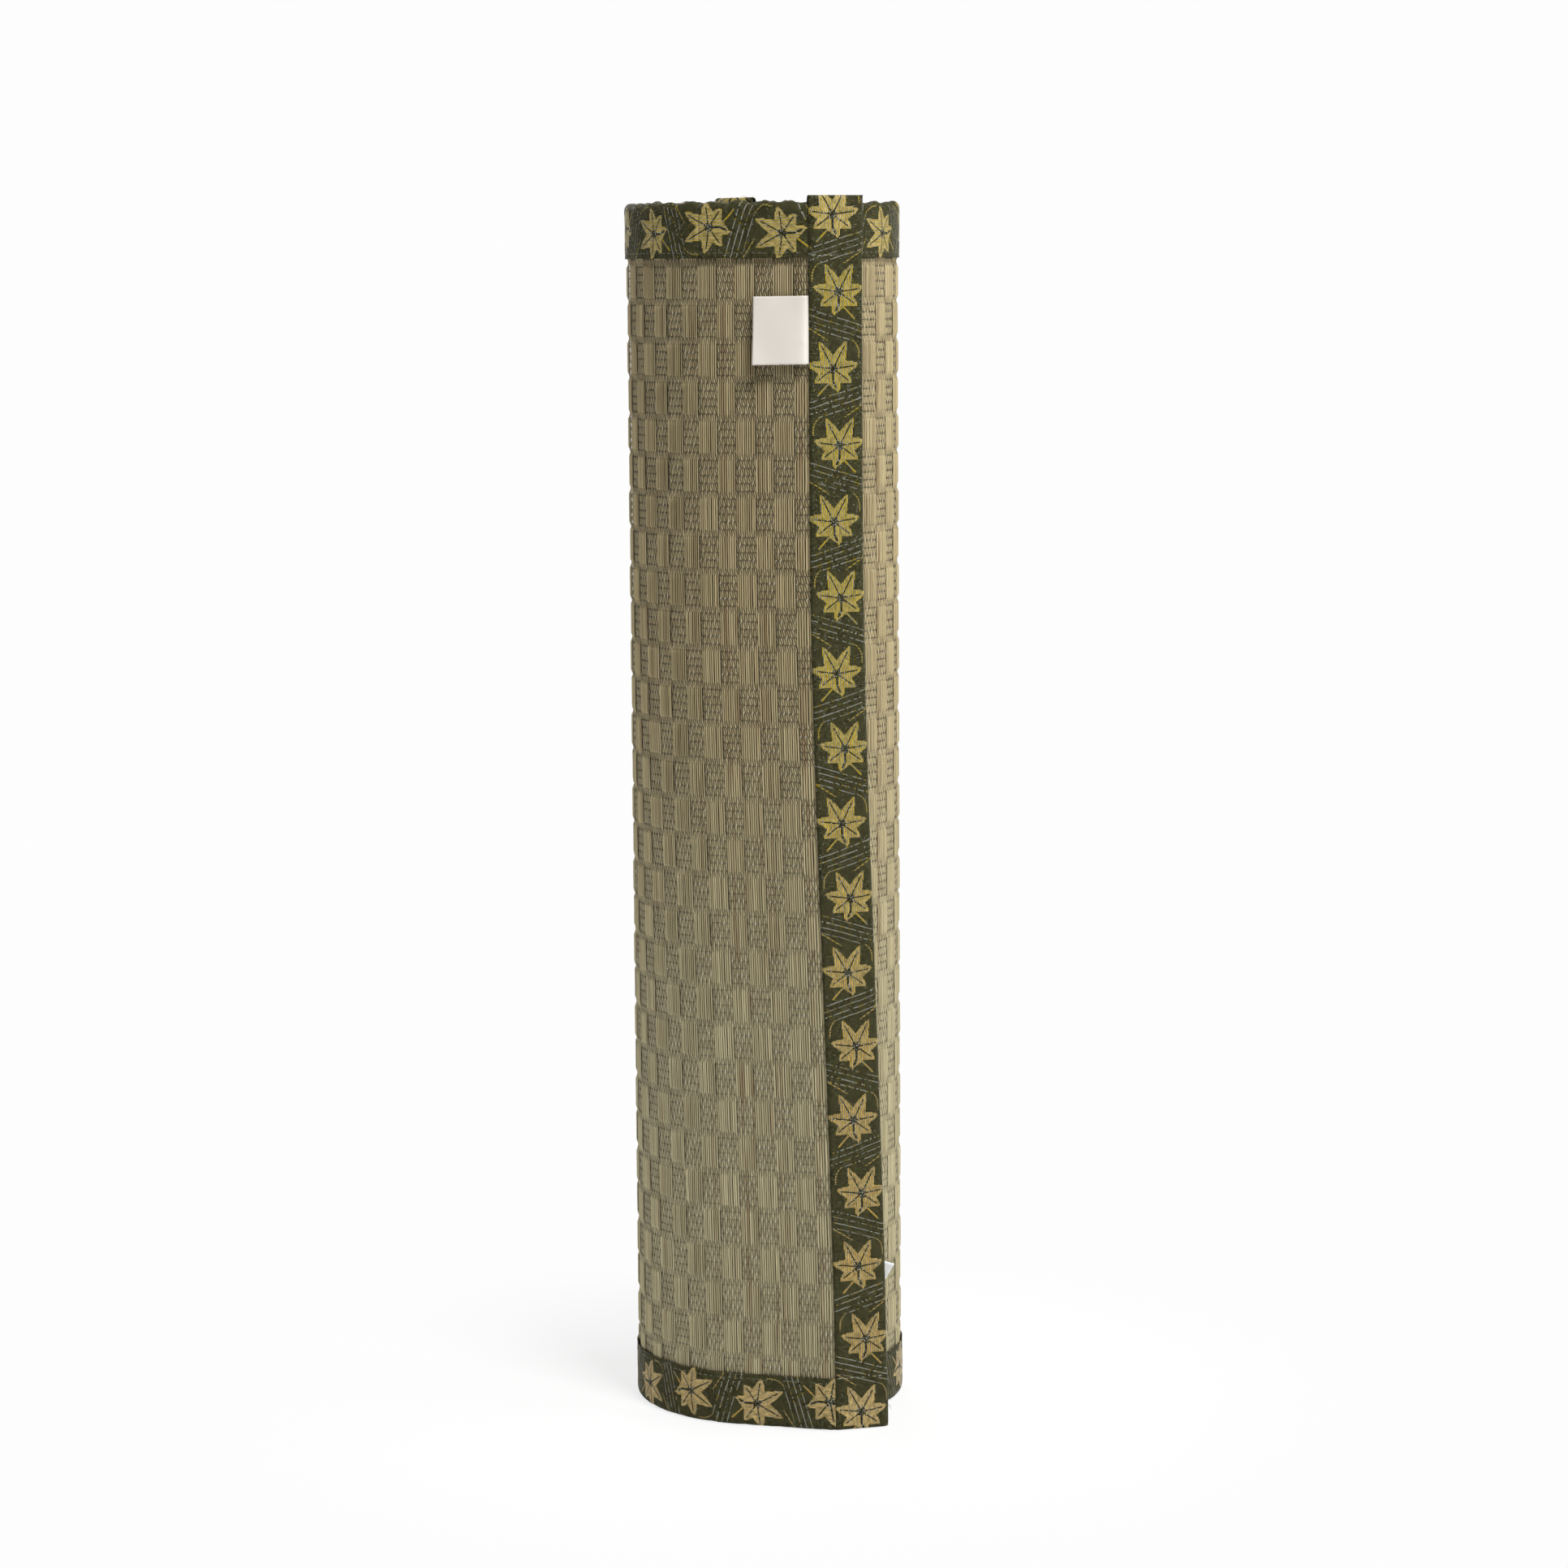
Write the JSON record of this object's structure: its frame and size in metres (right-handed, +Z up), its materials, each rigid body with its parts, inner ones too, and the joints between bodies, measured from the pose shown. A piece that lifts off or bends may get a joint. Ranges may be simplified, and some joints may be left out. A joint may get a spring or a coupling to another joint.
{
  "type": "rolled rush yoga mat",
  "caption": "Woven rush yoga mat with patterned tape edges, rolled up and standing on end, its free end and cloth label swinging out.",
  "frame": {"origin": "on the floor, under the middle of the box round the whole standing roll", "axes": "+Z up along the roll's axis, +X to the right and -Y towards the viewer of the picture, whom the free end faces"},
  "size_m": [0.1356, 0.1474, 0.603],
  "materials": {
    "rush": "dry woven rush straw, olive tan",
    "backing": "matte non-slip backing, dark olive grey",
    "brocade": "dark green brocade tape with a gold leaf pattern",
    "thread": "dark green sewing thread",
    "label": "off-white cotton twill",
    "film": "thin clear film"
  },
  "bodies": {
    "roll": {"roll_rush_face": "rush", "roll_backing": "backing", "roll_foot_tape": "brocade", "roll_foot_seam": "thread", "roll_head_tape": "brocade", "roll_head_seam": "thread", "inner_end_band": "brocade", "inner_band_seam": "thread", "inner_band_foot_seam": "thread", "inner_band_head_seam": "thread"},
    "free_end": {"free_end_rush_face": "rush", "free_end_backing": "backing", "free_end_foot_tape": "brocade", "free_end_foot_seam": "thread", "free_end_head_tape": "brocade", "free_end_head_seam": "thread", "outer_end_band": "brocade", "outer_band_seam": "thread", "outer_band_foot_seam": "thread", "outer_band_head_seam": "thread", "label_hem": "label", "film_scrap": "film"},
    "label": {"label": "label"}
  },
  "joints": [
    {"name": "free_end_peel", "type": "hinge", "parent": "roll", "child": "free_end", "pos_m": [-0.01229, -0.06394, 0], "axis": [0, 0, -1], "range_deg": [0, 75]},
    {"name": "label_flip", "type": "hinge", "parent": "free_end", "child": "label", "pos_m": [0.02373, -0.07129, 0.52102], "axis": [-0.0174, 0.0039, 0.9998], "range_deg": [0, 160]}
  ]
}
